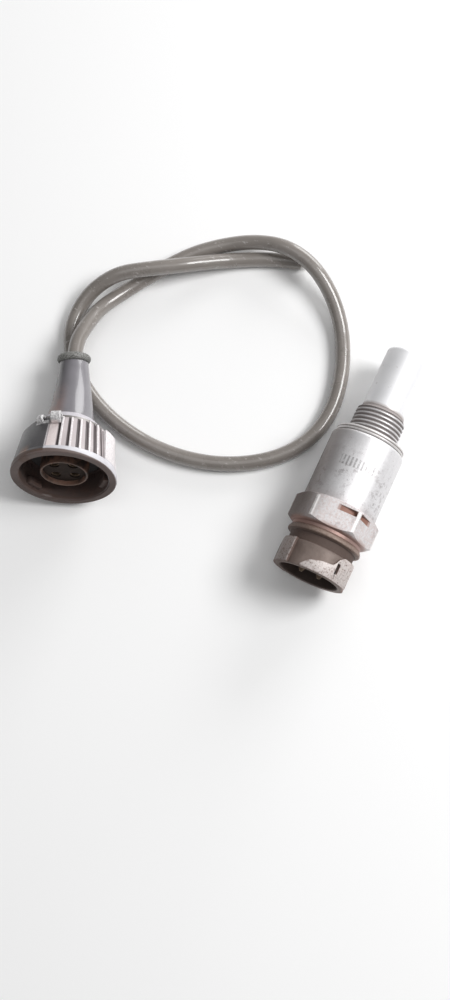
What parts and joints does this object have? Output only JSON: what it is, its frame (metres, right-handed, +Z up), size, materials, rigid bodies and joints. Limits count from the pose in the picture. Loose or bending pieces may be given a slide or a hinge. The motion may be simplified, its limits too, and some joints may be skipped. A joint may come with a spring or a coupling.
{
  "type": "screw-in sensor probe with bayonet lead",
  "caption": "Screw-in sensor probe with hexagon, male thread and bayonet connector, beside its lead with a coupling ring, tapered boot and cable.",
  "frame": {"origin": "on the table under the middle of the sensor (without its lead)", "axes": "+Z up, +Y along the sensor from its connector to the probe tip, the lead lies on the -X side"},
  "size_m": [0.1344, 0.1241, 0.0379],
  "materials": {
    "plated_steel": "worn plated steel with brown stains",
    "bright_probe": "bright satin steel",
    "gasket_steel": "dull steel washer",
    "aged_shell": "stained brown grey metal",
    "seal_rubber": "black rubber",
    "insert_plastic": "dark moulded plastic",
    "potting_resin": "poured resin",
    "contact_brass": "plated brass",
    "board_laminate": "glass fibre board",
    "component_plastic": "moulded components",
    "lead_wire": "tinned wire",
    "magnet_metal": "nickel plated magnet",
    "ring_plastic": "grey moulded plastic, polished by wear",
    "plug_plastic": "dirty brown grey plastic",
    "spring_steel": "spring steel",
    "core_insulation": "wire insulation",
    "boot_rubber": "lilac grey rubber",
    "bead_rubber": "dark rubber",
    "cable_jacket": "grey polyurethane jacket"
  },
  "bodies": {
    "root": {"sensor_housing": "plated_steel", "probe_tube": "bright_probe", "seat_gasket": "gasket_steel", "connector_shell": "aged_shell", "shell_o_ring": "seal_rubber", "pin_insert": "insert_plastic", "potting_disc": "potting_resin", "interface_seal": "seal_rubber", "contact_pins": "contact_brass", "circuit_board": "board_laminate", "board_parts": "component_plastic", "pin_leads": "lead_wire", "chip_holder": "insert_plastic", "bias_magnet": "magnet_metal", "sensing_chip": "component_plastic", "chip_leads": "lead_wire", "plug_body": "plug_plastic", "ring_clip": "spring_steel", "plug_seal": "seal_rubber", "socket_insert": "insert_plastic", "socket_contacts": "contact_brass", "cable_cores": "core_insulation", "wire_grommet": "seal_rubber", "cable_boot": "boot_rubber", "boot_end_ring": "bead_rubber", "cable": "cable_jacket", "cable_end_cores": "core_insulation"},
    "ring": {"coupling_ring": "ring_plastic"}
  },
  "joints": [
    {"name": "ring_turn", "type": "hinge", "parent": "root", "child": "ring", "pos_m": [-0.09199, -0.04174, 0.01823], "axis": [-0.3618, 0.8956, -0.2588], "range_deg": [0, 60]}
  ]
}
